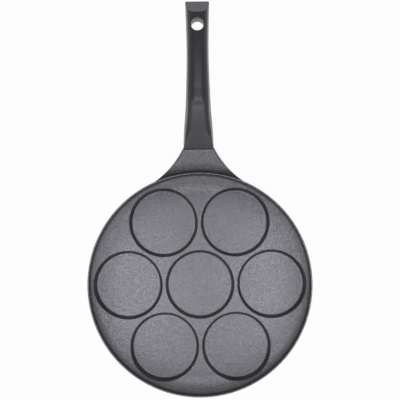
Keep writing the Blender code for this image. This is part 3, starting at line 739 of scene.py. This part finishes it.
# handle: sizes as in the solid, with its crown, thumb rest and flanks worked finer

grip = dict(
    length=0.1694, arcRadius=0.3720, jointRound=0.00045, endRound=0.00025, endMargin=0.0006,
    arch=2.4, archDistance=0.0220, waist=0.1110, endSlant=math.radians(47.0), slantRun=0.0400,
    endWidest=-0.0030, endSquare=9.0, squareRun=0.0400, jointBlend=0.0003, restBlend=0.0016, blendRun=0.0120,
    flankBlend=0.0008, flankFoot=-0.0040, socketRoom=0.0010, holeSteps=48,
    points=192, stations=240, sharpAngle=38.0)
# by distance from the joint: half widths, crowns, depths, how far the thumb rest lies under the crown,
# and the flanks' drafts in degrees
grip["widths"] = [(0.0, 0.0177), (0.0200, 0.01655), (0.0480, 0.0143), (0.1110, 0.01245), (0.1694, 0.0137)]
grip["crowns"] = [
    (0.0, 0.0083), (0.0160, 0.0089), (0.0480, 0.0109), (0.0540, 0.0110),
    (0.0690, 0.0098), (0.0900, 0.0090), (0.1110, 0.0089), (0.1694, 0.0090)]
grip["depths"] = [(0.0, 0.0075), (0.0260, 0.0093), (0.1110, 0.0090), (0.1694, 0.0090)]
grip["rests"] = [
    (0.0, 0.0008), (0.0160, 0.0003), (0.0280, 0.0005), (0.0400, 0.0008), (0.0485, 0.0009), (0.0570, -0.0010)]
grip["drafts"] = [
    (0.0, 2.0), (0.0046, 5.0), (0.0128, 9.5), (0.0220, 13.0),
    (0.0337, 15.0), (0.0450, 13.0), (0.0600, 11.0), (0.1694, 11.0)]
bores = dict(steps=72, lipSteps=6, lipReach=1.6, lipLift=0.35, above=0.05)
hangHole = dict(radius=0.00705, setback=0.0322, lip=0.0009, reach=0.0300)
counterbore = dict(lip=0.0005, reach=0.0040)


def pathPoint(distance, height, x=0.0):  # a point of the handle, which bends downward in one arc
    turn = distance / grip["arcRadius"]
    along = grip["arcRadius"] * math.sin(turn) + height * math.sin(turn)
    up = height * math.cos(turn) - grip["arcRadius"] * (1 - math.cos(turn))
    return jointPlace @ Vector((x, along, up))


def gripPoint(distance, turn):  # (x, height) on the handle's section
    arch = smoothStep(distance / grip["archDistance"])
    level = smoothStep(distance / grip["waist"])
    square = smoothStep(1 - (grip["length"] - distance) / grip["squareRun"])
    crown = curveThrough(grip["crowns"], distance)
    width = curveThrough(grip["widths"], distance)
    x, height = squarishPoint(
        turn, width, crown, curveThrough(grip["depths"], distance),
        neck["widest"] + (grip["endWidest"] - neck["widest"]) * level,
        neck["topPower"] + (grip["arch"] - neck["topPower"]) * arch,
        neck["bottomPower"] + grip["endSquare"] * square)
    rest = crown - curveThrough(grip["rests"], distance)
    rise = max(height - grip["flankFoot"], 0.0)
    reach = width - rise * math.tan(math.radians(curveThrough(grip["drafts"], distance)))
    if rise:
        x = math.copysign(min(abs(x), softMin(abs(x), reach, grip["flankBlend"])), x)
    settled = smoothStep(distance / grip["blendRun"])
    blend = grip["jointBlend"] + (grip["restBlend"] - grip["jointBlend"]) * settled
    return x, softMin(height, rest, blend)


def gripRing(distance, inset):  # one ring of the handle, leaning more and more toward the slanted end
    lean = math.tan(grip["endSlant"]) * smoothStep(1 - (grip["length"] - distance) / grip["slantRun"])
    ring = []
    for i in range(grip["points"]):
        turn = 2 * math.pi * i / grip["points"]
        _, height = gripPoint(distance, turn)
        back = lean * (height + curveThrough(grip["depths"], distance))
        x, height = gripPoint(distance - back, turn)
        ring.append(pathPoint(distance - back, height, x))
    if inset:
        middle = sum(ring, Vector()) / len(ring)
        ring = [point + (middle - point).normalized() * inset for point in ring]
    return ring


def gripSkin():
    bm = bmesh.new()
    start = neck["jointGap"] / 2
    stations = [(start + advance, inset) for advance, inset in roundedStart(grip["jointRound"])]
    first = stations[-1][0]
    last = grip["length"] - grip["endRound"]
    for i in range(1, grip["stations"]):
        stations.append((first + (last - first) * i / grip["stations"], 0.0))
    for i in range(6):
        turn = math.pi / 2 * i / 5
        stations.append((last + grip["endRound"] * math.sin(turn), grip["endRound"] * (1 - math.cos(turn))))
    stations.append((grip["length"], grip["endRound"] + grip["endMargin"]))
    rings = [addRing(bm, gripRing(distance, inset)) for distance, inset in stations]
    skinRings(bm, rings)
    closeRing(bm, rings[0])
    closeRing(bm, rings[-1])
    return objectFrom("handleMoulding", bm)


def lippedBore(name, obj, place, radius, top, bottom, lip, lipTop=True):
    # a bore along the local Z of place, with edges rounded where it leaves the surface of obj
    corners = [vert.co.copy() for vert in obj.data.vertices]
    tree = BVHTree.FromPolygons(corners, [list(face.vertices) for face in obj.data.polygons])
    steps = bores["steps"]
    turns = [math.pi / 2 * i / bores["lipSteps"] for i in range(bores["lipSteps"])]
    flare = [(radius + lip * (1 - math.cos(a)), lip * (1 - math.sin(a))) for a in turns]
    wide, lift = radius + lip * bores["lipReach"], lip * bores["lipLift"]

    def ringAt(distance, depth, end):
        ring = []
        for i in range(steps):
            turn = 2 * math.pi * i / steps
            x, y = distance * math.cos(turn), distance * math.sin(turn)
            start = place @ Vector((x, y, end * bores["above"]))
            toward = (place.to_3x3() @ Vector((0.0, 0.0, -end))).normalized()
            hit, _, _, _ = tree.ray_cast(start, toward)
            level = (place.inverted() @ hit).z
            ring.append(place @ Vector((x, y, level - end * depth)))
        return ring

    def plainRing(distance, level):
        return [place @ Vector((p.x, p.y, level)) for p in circle((0.0, 0.0), distance, steps)]

    bm = bmesh.new()
    rings = []
    if lipTop:
        rings.append(plainRing(wide, top))
        rings.append(ringAt(wide, -lift, 1))
        rings += [ringAt(distance, depth, 1) for distance, depth in reversed(flare)]
    else:
        rings.append(plainRing(radius, top))
    rings += [ringAt(distance, depth, -1) for distance, depth in flare]
    rings.append(ringAt(wide, -lift, -1))
    rings.append(plainRing(wide, bottom))
    rows = [addRing(bm, ring) for ring in rings]
    skinRings(bm, rows)
    bm.faces.new(rows[0])
    bm.faces.new(rows[-1])
    return objectFrom(name, bm)


def screwLevels():  # heights along the screw: the handle's underside, the head's seat and the flat washer
    depth = curveThrough(grip["depths"], screw["distance"])
    underside = (jointPlace.inverted() @ pathPoint(screw["distance"], -depth)).z
    headSeat = underside + screw["sink"] + screw["headHeight"]
    flat = headSeat + seatGap + washers["springThickness"] + seatGap
    return underside, headSeat, flat


def handleMoulding():
    body = gripSkin()
    deep = tang["length"] + grip["socketRoom"]
    size = (tang["width"] + 2 * seatGap, deep + tang["run"], tang["thickness"] + 2 * seatGap)
    center = (0.0, (deep - tang["run"]) / 2, tang["lift"])
    hangPlace = Matrix.Translation(pathPoint(grip["length"] - hangHole["setback"], 0.0))
    reach = hangHole["reach"]
    hang = lippedBore("hangBore", body, hangPlace, hangHole["radius"], reach, -reach, hangHole["lip"])
    underside, _, flat = screwLevels()
    shelf = flat + washers["flatThickness"] + seatGap
    screwPlace = jointPlace @ Matrix.Translation((0.0, screw["distance"], 0.0))
    bore = washers["flatRadius"] + washers["clearance"]
    low = underside - counterbore["reach"]
    seat = lippedBore("screwBore", body, screwPlace, bore, shelf, low, counterbore["lip"], lipTop=False)
    carve(body, hang)
    carve(body, seat)
    carve(body, roundedBlock("socketSpace", size, center, tang["edge"], jointPlace))
    bm = bmesh.new()
    hole = screw["radius"] + seatGap
    lift, under = tang["lift"], shelf - 0.001
    turnProfile(bm, [(0.0, lift), (hole, lift), (hole, under), (0.0, under)], grip["holeSteps"], screwPlace)
    carve(body, objectFrom("screwSpace", bm))
    finishPiece(body, grip["sharpAngle"], [phenolic])
    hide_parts("handle")
    print("handle moulding:", len(body.data.polygons), "faces")


# screw: domed head with a cross recess, and a helical thread; its two washers keep the solids' meshes

screw = dict(
    distance=0.0260, radius=0.0025, length=0.0100, headRadius=0.00475, headHeight=0.00275, headRound=0.0012,
    dome=0.0004, seatBevel=0.0001, sink=0.0003, recessSpan=0.0052, recessWidth=0.0008, recessDepth=0.0016,
    recessEdge=0.00012, recessReach=0.0040, pitch=0.0008, threadDepth=0.00042, flank=2.4, plain=0.0012,
    tipTaper=0.0006, fadeRings=6, turnRings=8, steps=64, sharpAngle=30.0)
washers = dict(flatRadius=0.0050, flatThickness=0.0010, springThickness=0.0012, clearance=0.0006)


def handleScrew():
    bm = bmesh.new()
    _, headSeat, _ = screwLevels()
    headEnd = headSeat - screw["headHeight"]
    place = jointPlace @ Matrix.Translation((0.0, screw["distance"], 0.0))
    crown = (screw["headRadius"] - screw["headRound"], headEnd + screw["dome"] + screw["headRound"])
    head = arcPoints(crown, screw["headRound"], 0.0, -math.pi / 2, 8)
    head += [(crown[0] * share, headEnd + screw["dome"] * share * share) for share in (0.75, 0.5, 0.25, 0.0)]
    shoulder = [
        (screw["radius"], headSeat), (screw["headRadius"] - screw["seatBevel"], headSeat),
        (screw["headRadius"], headSeat - screw["seatBevel"])]
    rows = turnProfile(bm, shoulder + head, screw["steps"], place)
    tip = headSeat + screw["length"]
    count = int((screw["length"] - screw["plain"]) / screw["pitch"] * screw["turnRings"])
    ring = rows[0]
    for i in range(count + 1):
        level = headSeat + screw["plain"] + (tip - headSeat - screw["plain"]) * i / count
        fade = min(i / screw["fadeRings"], 1.0) * screw["threadDepth"]
        taper = max(0.0, level - tip + screw["tipTaper"])
        points = []
        for k in range(screw["steps"]):
            phase = (level / screw["pitch"] - k / screw["steps"]) % 1.0
            depth = fade * min(1.0, screw["flank"] * abs(phase - 0.5))
            radius = screw["radius"] - depth - taper
            turn = 2 * math.pi * k / screw["steps"]
            points.append(place @ Vector((radius * math.cos(turn), radius * math.sin(turn), level)))
        row = addRing(bm, points)
        skinRings(bm, [ring, row])
        ring = row
    bm.faces.new(ring)
    body = objectFrom("handleScrewFine", bm)
    depth, reach = screw["recessDepth"], screw["recessReach"]
    for turn in (0.0, math.pi / 2):
        arm = roundedBlock(
            "recessArm", (screw["recessSpan"], screw["recessWidth"], depth + reach),
            (0.0, 0.0, (depth - reach) / 2), screw["recessEdge"],
            place @ Matrix.Translation((0.0, 0.0, headEnd)) @ Matrix.Rotation(turn, 4, "Z"))
        carve(body, arm)
    finishPiece(body, screw["sharpAngle"], [zinc])
    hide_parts("handle_screw")
    print("screw:", len(body.data.polygons), "faces")


coating = speckledCoating()
bareBase = turnedAluminium()
phenolic = blackPhenolic()
zinc = zincPlating()
print("finishes made")
panCasting()
handleMoulding()
handleScrew()
for name in ("spring_washer", "flat_washer"):
    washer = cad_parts[name]
    washer.data.materials.clear()
    washer.data.materials.append(zinc)
print("pieces made")


# floor, sky and lamps

studio = dict(
    floorSize=12.0, floorDrop=0.0001, floorPaint=0.86, floorGlow=0.95,
    overhead=0.30, horizon=0.95, bandFoot=0.30, bandTop=0.55,
    stripSize=(0.30, 0.60), stripPlace=(0.238, -0.105, 1.5), stripRadiance=(4.48, 4.40),
    fillSize=(2.60, 1.35), fillPlace=(-0.12, -0.78, 1.5), fillRadiance=0.95)


def seenRays(tree):  # 1 for camera, glossy and transmission rays
    path = put(tree, "ShaderNodeLightPath").outputs
    glossy = maths(tree, "MAXIMUM", path["Is Glossy Ray"], path["Is Transmission Ray"])
    return maths(tree, "MAXIMUM", path["Is Camera Ray"], glossy)


def makeFloor():
    bm = bmesh.new()
    bmesh.ops.create_grid(bm, x_segments=1, y_segments=1, size=studio["floorSize"] / 2)
    floor = objectFrom("studioFloor", bm)
    floor.location.z = -studio["floorDrop"]
    material, tree = newFinish("paleFloor")
    paint = put(tree, "ShaderNodeBsdfDiffuse", Color=rgb(*[studio["floorPaint"]] * 3))
    glow = put(tree, "ShaderNodeEmission", Color=rgb(1.0, 1.0, 1.0), Strength=1.0)
    amount = maths(tree, "MULTIPLY", seenRays(tree), studio["floorGlow"])
    top = put(tree, "ShaderNodeMixShader", i0=amount, i1=paint.outputs[0], i2=glow.outputs[0])
    clear = put(tree, "ShaderNodeBsdfTransparent")
    back = put(tree, "ShaderNodeNewGeometry").outputs["Backfacing"]
    both = put(tree, "ShaderNodeMixShader", i0=back, i1=top.outputs[0], i2=clear.outputs[0])
    put(tree, "ShaderNodeOutputMaterial", Surface=both.outputs[0])
    floor.data.materials.append(material)


def makeSky():  # pale at the horizon, dim overhead
    world = bpy.data.worlds.new("studioSky")
    bpy.context.scene.world = world
    world.use_nodes = True
    tree = world.node_tree
    tree.nodes.clear()
    where = put(tree, "ShaderNodeTexCoord").outputs["Generated"]
    height = put(tree, "ShaderNodeSeparateXYZ", Vector=where).outputs["Z"]
    band = (studio["bandFoot"], studio["bandTop"])
    strength = mapTo(tree, height, *band, studio["horizon"], studio["overhead"])
    sky = put(tree, "ShaderNodeBackground", Color=rgb(1.0, 1.0, 1.0), Strength=strength)
    put(tree, "ShaderNodeOutputWorld", Surface=sky.outputs[0])


def makePanel(name, size, place, radiance):  # a soft lamp overhead, facing down
    lamp = bpy.data.lights.new(name, "AREA")
    lamp.shape = "RECTANGLE"
    lamp.size, lamp.size_y = size
    lamp.energy = radiance * math.pi * lamp.size * lamp.size_y
    panel = bpy.data.objects.new(name, lamp)
    panel.location = place
    bpy.context.scene.collection.objects.link(panel)


makeFloor()
makeSky()
across, along, up = studio["stripPlace"]
makePanel("leftStrip", studio["stripSize"], (-across, along, up), studio["stripRadiance"][0])
makePanel("rightStrip", studio["stripSize"], (across, along, up), studio["stripRadiance"][1])
makePanel("wideFill", studio["fillSize"], studio["fillPlace"], studio["fillRadiance"])
print("studio lit")
